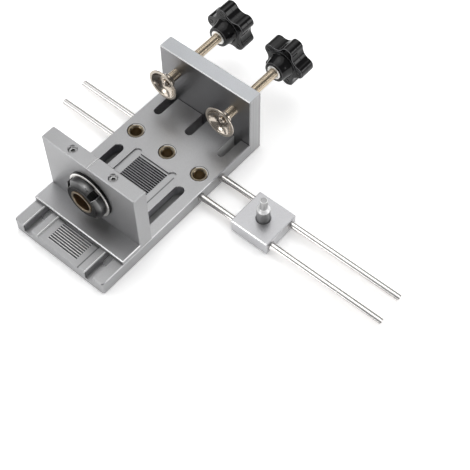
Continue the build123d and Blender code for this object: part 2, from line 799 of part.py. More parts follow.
with BuildPart() as block_screws:
    for y in rod_rows.values():
        screw_bottom = block_lift + edge_break
        screw_height = rod_z - rod_diameter / 2 - slide_gap - screw_bottom
        with BuildSketch(Plane.XY.offset(screw_bottom)):
            with Locations((block_x, y)):
                Circle(block_screw_diameter / 2)
                RegularPolygon(block_screw_diameter / 4, 6, major_radius=False, mode=Mode.SUBTRACT)
        extrude(amount=screw_height / 2)
        with BuildSketch(Plane.XY.offset(screw_bottom + screw_height / 2)):
            with Locations((block_x, y)):
                Circle(block_screw_diameter / 2)
        extrude(amount=screw_height / 2)

save(block_screws.part, "block_screws")

with BuildPart() as locating_pin:
    with BuildSketch(facing_right(block_x, bush_y)):
        with BuildLine():
            Polyline(
                (0, pin_bottom),
                (pin_tail_diameter / 2, pin_bottom),
                (pin_tail_diameter / 2, pin_seat),
                (pin_diameter / 2, pin_seat),
                (pin_diameter / 2, pin_top),
                (pin_tip_diameter / 2, pin_top + pin_shoulder),
                (pin_tip_diameter / 2, pin_top + pin_shoulder + pin_tip_length),
                (0, pin_top + pin_shoulder + pin_tip_length),
                close=True,
            )
        make_face()
    revolve(axis=Axis((block_x, bush_y, 0), (0, 0, 1)))
    chamfer(locating_pin.faces().sort_by(Axis.Z)[-1].edges(), edge_break / 2)

save(locating_pin.part, "locating_pin")
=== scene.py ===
"""Studio dressing of a self centring doweling jig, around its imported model.

Each sub-assembly is a class that holds its sizes in millimetres, makes its meshes as surfaces
worked out with numpy and dresses them. Every finish is a frozen dataclass that builds one
procedural material. X runs across the base, Y from its front to its rear and Z up.
"""

import logging
import math
from dataclasses import dataclass, field
from enum import Enum

import bmesh
import bpy
import numpy as np
from bpy.types import ID, Material, Node, NodeOutputs, NodeSocket, NodeTree, Object
from mathutils import Matrix, Quaternion, Vector


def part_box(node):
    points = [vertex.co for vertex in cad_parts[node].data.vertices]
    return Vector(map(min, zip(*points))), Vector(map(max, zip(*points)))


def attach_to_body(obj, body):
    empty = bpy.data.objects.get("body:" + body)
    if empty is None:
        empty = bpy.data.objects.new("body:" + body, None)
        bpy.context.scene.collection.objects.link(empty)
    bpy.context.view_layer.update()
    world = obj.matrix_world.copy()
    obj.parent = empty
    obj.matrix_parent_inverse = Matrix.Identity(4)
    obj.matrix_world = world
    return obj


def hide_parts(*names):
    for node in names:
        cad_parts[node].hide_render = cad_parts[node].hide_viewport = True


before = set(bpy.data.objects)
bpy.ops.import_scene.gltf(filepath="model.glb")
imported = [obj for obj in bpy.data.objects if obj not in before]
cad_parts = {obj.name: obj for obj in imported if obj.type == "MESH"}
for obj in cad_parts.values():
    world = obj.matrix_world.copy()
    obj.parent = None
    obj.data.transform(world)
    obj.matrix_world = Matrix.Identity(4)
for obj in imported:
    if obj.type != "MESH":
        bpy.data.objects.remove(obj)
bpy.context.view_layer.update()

LOG = logging.getLogger("jig")
MM = 0.001
SIDES = ("left", "right")


class Facing(Enum):
    """The way that an axis points, with the two directions that its angles turn from and to."""

    FRONT = ((0, -1, 0), (1, 0, 0), (0, 0, 1))
    REAR = ((0, 1, 0), (0, 0, 1), (1, 0, 0))
    RIGHT = ((1, 0, 0), (0, 1, 0), (0, 0, 1))
    UP = ((0, 0, 1), (1, 0, 0), (0, 1, 0))


# --- small tools ---


def linear(colour: str) -> tuple:
    """Turn an sRGB hex colour into linear red, green, blue and alpha.

    Args:
        colour: six hex digits with a leading hash.

    Returns:
        Four floats, alpha 1.
    """
    channels = [int(colour[i:i + 2], 16) / 255 for i in (1, 3, 5)]
    bent = [c / 12.92 if c <= 0.04045 else ((c + 0.055) / 1.055) ** 2.4 for c in channels]
    return (*bent, 1.0)


class Extent:
    """The box round a solid of the frame, in millimetres: its corners, middle and size, and the
    middle of its front side.
    """

    def __init__(self, node: str) -> None:
        """Measure the box.

        Args:
            node: the solid's name.
        """
        self.low, self.high = (np.array(corner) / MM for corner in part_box(node))
        self.middle = (self.low + self.high) / 2
        self.size = self.high - self.low
        self.front = np.array([self.middle[0], self.low[1], self.middle[2]])


def placed(name: str, data: ID) -> Object:
    """Make an object and link it to the scene.

    Args:
        name: its name.
        data: its mesh, camera or lamp.

    Returns:
        The object.
    """
    thing = bpy.data.objects.new(name, data)
    bpy.context.scene.collection.objects.link(thing)
    return thing


def soften(profile: list, radius: float, closed: bool = True, steps: int = 5) -> np.ndarray:
    """Round the corners of a profile.

    Each corner is replaced by a quadratic curve that leaves its two sides at the given distance
    from the corner, or at 0.45 of the side where that is less.

    Args:
        profile: points as pairs.
        radius: distance from the corner to where the curve starts.
        closed: whether the last point joins the first.
        steps: points on each curve.

    Returns:
        An array of points.
    """
    at = np.array(profile, float)
    before, after = np.roll(at, 1, 0) - at, np.roll(at, -1, 0) - at
    reach = []
    for side in (before, after):
        length = np.maximum(np.linalg.norm(side, axis=1, keepdims=True), 1e-9)
        reach.append(side / length * np.minimum(radius, 0.45 * length))
    t = np.linspace(0, 1, steps)[None, :, None]
    curve = (at + reach[0])[:, None] * (1 - t) ** 2 + at[:, None] * 2 * t * (1 - t)
    curve = (curve + (at + reach[1])[:, None] * t ** 2).reshape(-1, 2)
    if closed:
        return curve
    return np.vstack([at[:1], curve[steps:-steps], at[-1:]])


def grid_piece(name: str, points: np.ndarray, along: bool = False, crease: float = 35.0,
               bevel: float = 0.0, wear: np.ndarray = None) -> Object:
    """Make a piece from a grid of points.

    Neighbouring rows and columns are joined by quads, and the last column joins the first. Equal
    points are merged, which closes poles and seams, and the normals are then turned outwards.

    Args:
        name: the piece's name.
        points: array of rows, columns and three millimetre coordinates.
        along: whether the last row joins the first.
        crease: edges that turn by more degrees than this stay sharp.
        bevel: width in millimetres of a bevel on the sharp edges, or 0 for none.
        wear: how strongly worn bare edges and painted highlights are laid at each point, from 0 to
            1, or None for nowhere.

    Returns:
        The piece, in place.
    """
    rows, columns = points.shape[:2]
    index = np.arange(rows * columns).reshape(rows, columns)
    low = index if along else index[:-1]
    high = np.roll(index, -1, 0) if along else index[1:]
    quads = np.stack([low, np.roll(low, -1, 1), np.roll(high, -1, 1), high], -1).reshape(-1, 4)
    mesh = bpy.data.meshes.new(name)
    mesh.from_pydata((points.reshape(-1, 3) * MM).tolist(), [], quads.tolist())
    if wear is not None:
        mesh.attributes.new("wear", "FLOAT", "POINT").data.foreach_set("value", wear.ravel())
    work = bmesh.new()
    work.from_mesh(mesh)
    bmesh.ops.remove_doubles(work, verts=work.verts, dist=1e-7)
    bmesh.ops.dissolve_degenerate(work, edges=work.edges, dist=1e-8)
    bmesh.ops.recalc_face_normals(work, faces=work.faces)
    work.to_mesh(mesh)
    work.free()
    mesh.polygons.foreach_set("use_smooth", np.ones(len(mesh.polygons), bool))
    mesh.set_sharp_from_angle(angle=math.radians(crease))
    piece = placed(name, mesh)
    if bevel:
        rounding = piece.modifiers.new("bevel", "BEVEL")
        rounding.width = bevel * MM
        rounding.segments = 2
        rounding.limit_method = "ANGLE"
        rounding.angle_limit = math.radians(crease)
    return piece


def merged(name: str, pieces: list) -> Object:
    """Put several pieces into one mesh under a new name, and remove the pieces.

    Args:
        name: the new piece's name.
        pieces: the pieces, without modifiers.

    Returns:
        The new piece.
    """
    work = bmesh.new()
    for piece in pieces:
        work.from_mesh(piece.data)
        bpy.data.objects.remove(piece)
    mesh = bpy.data.meshes.new(name)
    work.to_mesh(mesh)
    work.free()
    return placed(name, mesh)


def steps_round(segments: int) -> np.ndarray:
    """The angles of that many even steps round a circle, from 0."""
    return np.linspace(0, 2 * np.pi, segments, endpoint=False)


def turned(profile: np.ndarray, at: np.ndarray, facing: Facing, segments: int = 96,
           shape: np.ndarray = None) -> np.ndarray:
    """Carry a profile round an axis.

    A point is the axis point, plus its place along the axis, plus its radius times the cosine and
    sine of the angle along the two side directions.

    Args:
        profile: pairs of place along the axis and radius.
        at: a point of the axis.
        facing: the way that the axis points.
        segments: steps round the axis.
        shape: radii that replace the profile's, as an array of profile points and segments.

    Returns:
        A grid of points.
    """
    direction, first, second = (np.array(v, float) for v in facing.value)
    angle = steps_round(segments)
    ring = np.cos(angle)[:, None] * first + np.sin(angle)[:, None] * second
    radius = profile[:, 1:2] * np.ones(segments) if shape is None else shape
    return at + profile[:, :1, None] * direction + radius[..., None] * ring


def lathe(name: str, profile: list, rounding: float, at: np.ndarray, facing: Facing,
          segments: int = 96, closed: bool = True, steps: int = 5, **making) -> Object:
    """Make a piece by carrying a softened profile round an axis.

    Args:
        name: the piece's name.
        profile: pairs of place along the axis and radius.
        rounding: softening of the profile's corners.
        at: a point of the axis.
        facing: the way that the axis points.
        segments: steps round the axis.
        closed: whether the last point of the profile joins the first.
        steps: points on each softened corner.
        making: more that grid_piece takes.

    Returns:
        The piece.
    """
    points = turned(soften(profile, rounding, closed, steps), at, facing, segments)
    return grid_piece(name, points, along=closed, **making)


def dress(piece: Object, material: Material, body: str = None,
          nodes: tuple = ()) -> None:
    """Give a piece its material, put it under the body that it rides on, and hide the solids that
    it stands for.

    Args:
        piece: the piece.
        material: its finish.
        body: the body that it rides on, or None for a solid of the frame.
        nodes: the solids that it replaces.
    """
    piece.data.materials.clear()
    piece.data.materials.append(material)
    if body:
        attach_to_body(piece, body)
    if nodes:
        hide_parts(*nodes)


# --- finishes ---


def attach(node: Node, links: dict) -> None:
    """Link or set a node's inputs.

    Args:
        node: the node.
        links: input names or numbers, each with an output socket or a value.
    """
    for name, value in links.items():
        if isinstance(value, NodeSocket):
            node.id_data.links.new(value, node.inputs[name])
        else:
            node.inputs[name].default_value = value


def add(tree: NodeTree, kind: str, links: dict = None, **settings) -> NodeOutputs:
    """Add one node to a tree.

    Args:
        tree: the node tree.
        kind: the node's type, without its ShaderNode prefix.
        links: input names or numbers, each with an output socket or a value.
        settings: the node's own properties.

    Returns:
        The node's outputs.
    """
    node = tree.nodes.new("ShaderNode" + kind)
    for name, value in settings.items():
        setattr(node, name, value)
    attach(node, links or {})
    return node.outputs


class Surface:
    """A material in the making: its node tree, the place and facing of each point, and the colour,
    roughness and share of metal so far, each a plain value until a step paints over it.
    """

    def __init__(self, name: str, colour: str, roughness: float, metallic: float = 1.0) -> None:
        """Start the material.

        Args:
            name: its name.
            colour: sRGB hex of the bare surface.
            roughness: its roughness.
            metallic: 1 for bare metal, 0 for plastic.
        """
        self.material = bpy.data.materials.new(name)
        self.material.use_nodes = True
        self.tree = self.material.node_tree
        self.shader = self.tree.nodes["Principled BSDF"]
        where = add(self.tree, "TexCoord")
        self.place = where["Object"]
        self.at = add(self.tree, "SeparateXYZ", {0: self.place})
        self.facing = add(self.tree, "SeparateXYZ", {0: where["Normal"]})
        self.colour = linear(colour)
        self.roughness = roughness
        self.metallic = metallic

    def noise(self, size_mm: float, detail: float, low: float, high: float) -> NodeSocket:
        """Add noise of a real grain size, spread over the values from low to high.

        Args:
            size_mm: width of a grain, in millimetres.
            detail: number of finer layers.
            low: least value.
            high: greatest value.

        Returns:
            The socket of the value.
        """
        grain = add(self.tree, "TexNoise", {"Vector": self.place, "Scale": 1 / (size_mm * MM),
                                            "Detail": detail})["Fac"]
        return add(self.tree, "MapRange", {0: grain, 1: 0.3, 2: 0.7, 3: low, 4: high})[0]

    def marks(self, axis: int, size_mm: float, detail: float, middle: float, swing: float,
              span: float = 0.2) -> tuple:
        """Add marks of a tool: noise that changes along one axis alone.

        Args:
            axis: 0, 1 or 2.
            size_mm: width of a mark, in millimetres.
            detail: number of finer layers.
            middle: value that the noise's middle, 0.5, is spread to.
            swing: how far the spread values go to either side.
            span: how far from its middle the noise is spread.

        Returns:
            The sockets of the bare noise and of the spread value.
        """
        bare = add(self.tree, "TexNoise", {"W": self.at[axis], "Scale": 1 / (size_mm * MM),
                                           "Detail": detail}, noise_dimensions="1D")["Fac"]
        return bare, add(self.tree, "MapRange", {0: bare, 1: 0.5 - span, 2: 0.5 + span,
                                                 3: middle - swing, 4: middle + swing})[0]

    def within(self, limits: dict, soft: float = 0.0) -> NodeSocket:
        """Add a mask that is 1 where every named value lies between its limits.

        Each limit is a rise from 0 to 1 over the soft width, and the mask is their product.

        Args:
            limits: for x, y or z, millimetres, and for nx, ny or nz, parts of the surface's
                normal, each with its lowest and highest value.
            soft: width of the mask's fading edge, in millimetres.

        Returns:
            The socket of the mask.
        """
        mask = None
        for name, (low, high) in limits.items():
            turned_way = name.startswith("n")
            unit, fade = (1.0, 0.08) if turned_way else (MM, max(soft, 0.01) * MM)
            value = (self.facing if turned_way else self.at)["xyz".index(name[-1])]
            for edge, sign in ((low * unit, 1.0), (high * unit, -1.0)):
                side = add(self.tree, "MapRange", {0: value, 1: edge - sign * fade / 2,
                                                   2: edge + sign * fade / 2})[0]
                mask = side if mask is None else add(self.tree, "Math", {0: mask, 1: side},
                                                     operation="MULTIPLY")[0]
        return mask

    def paint(self, mask: NodeSocket, colour: str = "", roughness: float = -1.0,
              metallic: float = -1.0) -> None:
        """Lay another colour, roughness or share of metal over what is there, where the mask is 1.

        Args:
            mask: the mask's socket.
            colour: sRGB hex, or empty to keep the colour.
            roughness: the new roughness, or a negative value to keep it.
            metallic: the new share of metal, or a negative value to keep it.
        """
        if colour:
            self.colour = add(self.tree, "Mix", {0: mask, 6: self.colour, 7: linear(colour)},
                              data_type="RGBA")[2]
        if roughness >= 0:
            self.roughness = add(self.tree, "Mix", {0: mask, 2: self.roughness, 3: roughness})[0]
        if metallic >= 0:
            self.metallic = add(self.tree, "Mix", {0: mask, 2: self.metallic, 3: metallic})[0]

    def lay(self, zones: tuple) -> None:
        """Paint each zone in turn.

        Args:
            zones: the zones, of which a later one covers an earlier.
        """
        for zone in zones:
            self.paint(self.within(zone.limits, zone.soft), zone.colour, zone.roughness,
                       zone.metallic)

    def shade(self, factor: NodeSocket) -> None:
        """Multiply the colour by a factor."""
        self.colour = add(self.tree, "Mix", {0: 1.0, 6: self.colour, 7: factor}, data_type="RGBA",
                          blend_type="MULTIPLY")[2]

    def roughen(self, change: NodeSocket) -> None:
        """Add a change to the roughness."""
        self.roughness = add(self.tree, "Math", {0: self.roughness, 1: change})[0]

    def finish(self, height: NodeSocket, strength: float, depth_mm: float) -> Material:
        """Join colour, roughness and bump to the shader.

        Args:
            height: the bump's height, from 0 to 1.
            strength: how much of the bump is shown.
            depth_mm: its depth, in millimetres.

        Returns:
            The finished material.
        """
        bump = add(self.tree, "Bump", {"Height": height, "Strength": strength,
                                       "Distance": depth_mm * MM})
        attach(self.shader, {"Normal": bump[0], "Base Color": self.colour,
                             "Roughness": self.roughness, "Metallic": self.metallic})
        return self.material


@dataclass(frozen=True)
class Zone:
    """A part of a surface with another colour, roughness or share of metal, mostly painted light
    and shade, such as a pocket's darker walls.
    """

    limits: dict  # as Surface.within takes them
    colour: str
    roughness: float = -1.0
    soft: float = 0.0
    metallic: float = -1.0  # below 1 where painted light is laid as a pale matt colour


def bright(**limits: tuple) -> Zone:
    """A painted highlight: a rim or wall laid in pale matt white."""
    return Zone(limits, "#FFFFFF", 0.4, metallic=0.0)


# limits of a normal's part along an axis: a face square to it, a bevel and a wall along it
LEVEL, BEVEL, WALL = (0.92, 1.1), (0.3, 0.92), (-0.5, 0.5)
BARE, CUT = "#A6A6A7", "#A4A4A4"  # blasted aluminium and its bevels


@dataclass(frozen=True)
class BlastedAluminium:
    """Milled aluminium plate, blasted with fine glass beads and then bevelled with a cutter.

    The blasting scatters light into a soft grey sheen. The bevels that were cut afterwards are
    bare, and those that face up and towards the front or right catch the light as thin bright
    lines.
    """

    name: str
    colour: str
    bevel_colour: str
    zones: tuple = ()
    roughness: float = 0.44
    bevel_roughness: float = 0.26
    grain_mm: float = 0.8  # real beads leave 0.1 mm dimples, drawn coarser so that they show
    grain: float = 0.055
    cloud_mm: float = 38.0  # soft patches where the blasting was heavier
    cloud: float = 0.04
    streak_mm: float = 1.6  # upright lines that the milling cutter left on the ends
    streak: float = 0.0

    def build(self) -> Material:
        """Build the material.

        Returns:
            The material.
        """
        surface = Surface(self.name, self.colour, self.roughness)
        bevels = surface.within({"nx": (-0.3, 0.92), "ny": (-0.92, 0.3), "nz": BEVEL})
        surface.paint(bevels, self.bevel_colour, self.bevel_roughness)
        surface.lay(self.zones)
        if self.streak:
            lines = surface.marks(1, self.streak_mm, 2.0, 1.0, self.streak)[1]
            ends = surface.within({"nx": (0.9, 1.1)})
            surface.shade(add(surface.tree, "Mix", {0: ends, 2: 1.0, 3: lines})[0])
        surface.shade(surface.noise(self.cloud_mm, 3.0, 1 - self.cloud, 1 + self.cloud))
        surface.shade(surface.noise(self.grain_mm, 2.0, 1 - self.grain, 1 + self.grain))
        surface.roughen(surface.noise(self.grain_mm, 2.0, -0.04, 0.04))
        return surface.finish(surface.noise(self.grain_mm, 2.0, 0.0, 1.0), 0.15, 0.04)


@dataclass(frozen=True)
class TurnedSteel:
    """Steel turned or ground on a lathe, bare or thinly plated.

    The tool leaves fine rings round the axis, which stretch the highlights across them.
    """

    name: str
    colour: str
    roughness: float
    axis: int  # 0, 1 or 2: the axis that the piece was turned about
    ring_mm: float = 0.35  # real feed marks are 0.05 mm apart, drawn coarser so that they show
    ring_depth: float = 0.06
    stain: str = ""  # a second tone in soft patches, or none
    wall: str = ""  # the tone of surfaces along the axis, such as a bore's own tone or painted shade in a socket, or none
    zones: tuple = ()

    def build(self) -> Material:
        """Build the material.

        Returns:
            The material.
        """
        surface = Surface(self.name, self.colour, self.roughness)
        if self.stain:
            surface.paint(surface.noise(4.5, 4.0, 0.0, 1.0), self.stain)
        if self.wall:
            surface.paint(surface.within({"n" + "xyz"[self.axis]: (-0.4, 0.4)}), self.wall)
        surface.lay(self.zones)
        rings, change = surface.marks(self.axis, self.ring_mm, 3.0, 0.0, 0.2 * self.roughness, 0.25)
        surface.roughen(change)
        return surface.finish(rings, self.ring_depth, 0.05)


@dataclass(frozen=True)
class BlackOxide:
    """Steel blackened in a hot salt bath: a thin dark skin that still shines like oiled metal."""

    name: str
    colour: str
    worn: str
    rubbed_and_highlight: str = "#D8D8D8"  # bare steel on the slot edges that are gripped to turn it, and a painted highlight along the chamfer's edge
    roughness: float = 0.34
    ring_mm: float = 0.9  # rings of the lathe tool, seen through the thin skin
    ring: float = 0.35

    def build(self) -> Material:
        """Build the material.

        Returns:
            The material.
        """
        surface = Surface(self.name, self.colour, self.roughness)
        surface.paint(surface.noise(3.3, 5.0, -0.3, 0.5), self.worn)
        surface.shade(surface.marks(1, self.ring_mm, 2.0, 1.0, self.ring)[1])
        # bare steel on the ring nut's gripped slot edges, and a painted highlight along its
        # chamfer's edge
        wear = add(surface.tree, "Attribute", attribute_name="wear")["Fac"]
        surface.paint(wear, self.rubbed_and_highlight, 0.22)
        surface.roughen(surface.noise(3.3, 5.0, -0.05, 0.07))
        return surface.finish(surface.noise(0.7, 0.0, 0.0, 1.0), 0.1, 0.03)


@dataclass(frozen=True)
class MouldedPhenolic:
    """Black phenolic resin pressed in a polished mould: deep black with a hard gloss."""

    name: str
    colour: str
    rubbed_and_highlight: str = "#8E8E90"  # painted highlight along the front edges of the star and the hub
    roughness: float = 0.12

    def build(self) -> Material:
        """Build the material.

        Returns:
            The material.
        """
        surface = Surface(self.name, self.colour, self.roughness, metallic=0.0)
        # painted highlight along the edges that each piece marks
        wear = add(surface.tree, "Attribute", attribute_name="wear")["Fac"]
        surface.paint(wear, self.rubbed_and_highlight)
        flow = surface.noise(11.0, 4.0, 0.0, 1.0)
        surface.roughen(surface.noise(11.0, 4.0, -0.04, 0.06))
        surface.shader.inputs["IOR"].default_value = 1.5
        surface.shader.inputs["Specular IOR Level"].default_value = 0.35
        return surface.finish(flow, 0.15, 0.12)


class Finishes:
    """All materials of the jig, built once."""

    def __init__(self) -> None:
        """Build every material."""
        self.jaw = BlastedAluminium("blasted_aluminium_jaw", BARE, CUT, (
            # painted light: the top of the jaw's foot is lighter
            Zone({"z": (16.7, 16.9), "nz": LEVEL}, "#B2B2B4"),
            # painted light on the lower jaw front, fading upwards
            Zone({"y": (-47.1, -46.8), "z": (10.0, 32.0), "ny": (-1.1, -0.92)}, "#C2C2C4",
                 soft=20.0),
            Zone({"z": (20.0, 71.0), "nz": BEVEL}, "#A8A8A9", 0.4),
            # painted highlight on the holes' far walls, painted shade on the centre mark's right
            # flank and a painted highlight on its left flank
            bright(y=(-45.0, -37.0), z=(66.0, 69.6), ny=(-1.1, -0.2), nz=(-0.3, 0.3)),
            Zone({"x": (0.02, 0.6), "z": (12.0, 69.6), "nx": (-0.92, -0.3)}, "#505052", 0.5),
            bright(x=(-0.6, -0.02), z=(60.0, 69.8), nx=BEVEL),
        )).build()
        self.rear = BlastedAluminium("blasted_aluminium_rear_plate", "#B9BBBE", CUT, (
            # painted shade: the rear plate's right side and front are darker than its top
            Zone({"nx": (0.3, 1.1)}, "#A8A8A9", 0.44),
            Zone({"ny": (-1.1, -0.9)}, "#949496", 0.4),
        ), streak=0.09).build()
        self.base = BlastedAluminium("blasted_aluminium_base", BARE, CUT, (
            # painted shade: the base's top is darker at the front
            Zone({"y": (-90.0, -50.0), "z": (12.4, 12.6), "nz": LEVEL}, "#9C9C9D", soft=12.0),
            Zone({"y": (-90.0, -85.0)}, BARE, 0.44, 0.4),
            # painted light on the slots' walls near the front
            Zone({"x": (-36.0, 36.0), "y": (-85.0, -60.0), "z": (0.5, 12.1), "nz": WALL},
                 "#CECED0"),
            # painted shade on the bevels along the base's right edge; the next zone paints over it
            # in front of y 30
            Zone({"x": (40.0, 56.0), "nx": BEVEL, "nz": BEVEL}, "#808082", 0.44),
            Zone({"y": (-84.0, 30.0), "nx": BEVEL, "nz": BEVEL}, "#A2A2A3", 0.32, 6.0),
            *self.rack(), *self.slots(),
            # painted shade along the joint where the base meets the rear plate
            Zone({"y": (73.3, 73.9), "z": (12.3, 12.6)}, "#2E2E2E", 0.6, 0.2),
        )).build()
        self.block = BlastedAluminium("blasted_aluminium_block", "#BABABC", "#BEBEBE", (
            # painted light on the block's sides, and painted shade on its bevels that face right
            # and up
            Zone({"nz": (-0.3, 0.3)}, "#C6C6C8"),
            Zone({"nx": (0.35, 0.95), "nz": (0.3, 0.95)}, "#A8A8AA", 0.44),
        )).build()
        self.rod = TurnedSteel("ground_steel_rod", "#E8E6E4", 0.22, 0, ring_depth=0.008).build()
        self.pin = TurnedSteel("turned_steel_pin", "#C4C4C4", 0.38, 2, ring_depth=0.12, zones=(
            # painted highlight on the conical shoulder, and painted shade on the tip's top face
            Zone({"nz": (0.3, 0.9)}, "#FFFFFF", 0.3, metallic=0.3),
            Zone({"nz": (0.95, 1.1)}, "#9A9A9A", 0.4),
        )).build()
        self.ring = TurnedSteel("polished_steel_ring", "#FCFAF6", 0.4, 1).build()
        self.nickel = TurnedSteel("nickel_plate", "#CDBFAA", 0.17, 1).build()
        rim = Extent("pressure_pad_left").low[1]
        self.pad = TurnedSteel("satin_nickel_pad", "#CCC2B6", 0.19, 1, ring_depth=0.01, zones=(
            # painted highlight on the pad's flat front rim
            Zone({"y": (rim - 1.0, rim + 0.5), "ny": (-1.1, -0.95)}, "#D2C8BA", 0.3, metallic=0.7),
        )).build()
        # painted shade on the hex sockets' walls and the sunk heads' sides
        self.screw = TurnedSteel("turned_steel_screw", "#8E8E8E", 0.35, 2, wall="#2E2E2E").build()
        # painted highlight on the forward-facing slope of each bush's rim and mouth
        self.bush = TurnedSteel("tempered_steel_bush", "#8A8070", 0.38, 2, stain="#7C7260",
                                wall="#C0A880", zones=(
                                    bright(z=(12.12, 12.6), ny=(-1.1, -0.25), nz=(0.3, 0.95)),
                                )).build()
        self.cam_bush = TurnedSteel("tempered_steel_cam_bush", "#9A8E7C", 0.36, 1,
                                    stain="#8A7E6C", wall="#8E7860").build()
        self.oxide = BlackOxide("black_oxide", "#303030", "#4A4A48").build()
        self.phenolic = MouldedPhenolic("moulded_phenolic", "#0E0E0F").build()

    @staticmethod
    def rack() -> list:
        """Paint light and shade on the rack, whose lands grow darker towards the rear, under the
        jaw.

        Returns:
            The zones.
        """
        rack, front = {"x": (-14.25, 14.25), "y": (-82.0, 13.8)}, {"x": (-14.2, 14.2)}
        land, flank = {"z": (10.9, 11.1), "nz": LEVEL}, (-0.1, 0.92)
        step, start = 4.0, -60.0
        return [
            # painted shade on the lands, kept under the jaw
            Zone({**rack, **land}, "#8A8A8D"),
            # painted shade on the grooves' flanks
            Zone({**rack, "z": (10.0, 11.1), "nz": flank}, "#5C5C5E"),
            # painted shadow on the recess floor by its right wall
            Zone({"x": (18.9, 20.8), "y": (-90.0, 15.4), "z": (10.9, 11.1)}, "#48484A", 0.5, 0.3),
            # painted highlight on the front lands, turning to painted shade towards the rear
            Zone({**front, "y": (-82.0, start), **land}, "#CCCCCC", 0.4),
            Zone({**front, "y": (-82.0, -55.0), "z": (10.0, 11.0), "nz": flank}, "#646466", 0.44),
            *(Zone({**front, "y": (start + step * i, start + step * (i + 1)), **land},
                   "#" + 3 * f"{grey:02X}", 0.4) for i, grey in enumerate(range(0xC2, 0x80, -11))),
        ]

    @staticmethod
    def slots() -> list:
        """Paint light and shade into the open slots: walls, far ends' rims, left edges and rear
        walls.

        Returns:
            The zones.
        """
        return [
            # painted light on the slots' walls, much lighter on the right
            *(Zone({"x": x, "y": (-62.0, 13.0), "z": (0.5, 12.1), "nz": WALL}, tone, 0.5, 3.0)
              for x, tone in (((-38.0, -23.0), "#A0A0A6"), ((23.0, 38.0), "#D4D4D8"))),
            # painted highlights on the rims of the far ends
            *(bright(x=x, y=(5.0, 19.0), z=(11.3, 12.6), nx=(-0.1, 0.9), ny=(-1.1, -0.4))
              for x in ((-36.0, -14.2), (14.2, 36.0))),
            # painted highlights along the left edges, dimmer further back
            *(Zone({"x": (x, x + 0.65), "y": y, "z": (11.0, 12.6)}, tone, 0.4, metallic=metal)
              for x in (-35.5, -21.2, 25.9)
              for y, tone, metal in (((-90.0, -56.0), "#FFFFFF", 0.0),
                                     ((-56.0, -44.0), "#D8D8D8", 0.6))),
            # painted light on the sight slots' rear walls
            *(Zone({"x": x, "y": (50.0, 73.6), "z": (0.1, 12.3), "nz": WALL}, tone, 0.5,
                   metallic=metal)
              for x, tone, metal in (((-36.0, 10.0), "#C8C8CA", -1.0),
                                     ((26.0, 36.0), "#CCCCCC", 0.0))),
        ]


# --- sub-assemblies ---


@dataclass
class Plates:
    """Base plate, rear plate, jaw and stop block: milled solids that are right as they are."""

    def make(self, finishes: Finishes) -> None:
        """Dress the milled solids and the hidden fasteners of the frame.

        Args:
            finishes: the materials.
        """
        for node, material, slot in (("base_plate", finishes.base, "bare_aluminium"),
                                     ("rear_plate", finishes.rear, "bare_aluminium"),
                                     ("front_jaw", finishes.jaw, "bare_aluminium"),
                                     ("stop_block", finishes.block, "block_aluminium")):
            dress(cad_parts[node], material)
        for node in ("rear_plate_screws", "rod_lock_screws", "block_screws", "index_key",
                     "jaw_bolt_left", "jaw_bolt_right", "jaw_washer_left", "jaw_washer_right"):
            dress(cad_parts[node], finishes.oxide)
        dress(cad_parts["rear_plate_dowels"], finishes.rod)


@dataclass
class DowelBushes:
    """Three guide bushes, flush with the base, each with a countersunk mouth."""

    bore: float = 8.1
    outer: float = 14.0
    flange: float = 16.4
    flange_height: float = 3.0
    mouth: float = 1.0  # width and depth of the countersink
    gap: float = 0.45  # dark line between the bush and its hole
    rim: float = 0.55  # width of the sloping rim
    rim_drop: float = 0.45
    rounding: float = 0.15

    def make(self, finishes: Finishes) -> None:
        """Make and dress the three bushes.

        Args:
            finishes: the materials.
        """
        for name in ("left", "centre", "right"):
            box = Extent(f"dowel_bush_{name}")
            top = box.size[2] / 2
            step, floor = self.flange_height - top, top - self.rim_drop
            edge, bore = self.outer / 2 - self.gap, self.bore / 2
            profile = [(-top, bore + self.mouth / 2), (-top, self.flange / 2),
                       (step, self.flange / 2), (step, edge), (top, edge), (floor, edge - self.rim),
                       (floor, bore + self.mouth), (floor - self.mouth, bore),
                       (self.mouth / 2 - top, bore)]
            bush = lathe(f"guide_bush_{name}", profile, self.rounding, box.middle, Facing.UP)
            dress(bush, finishes.bush, "frame", (f"dowel_bush_{name}",))


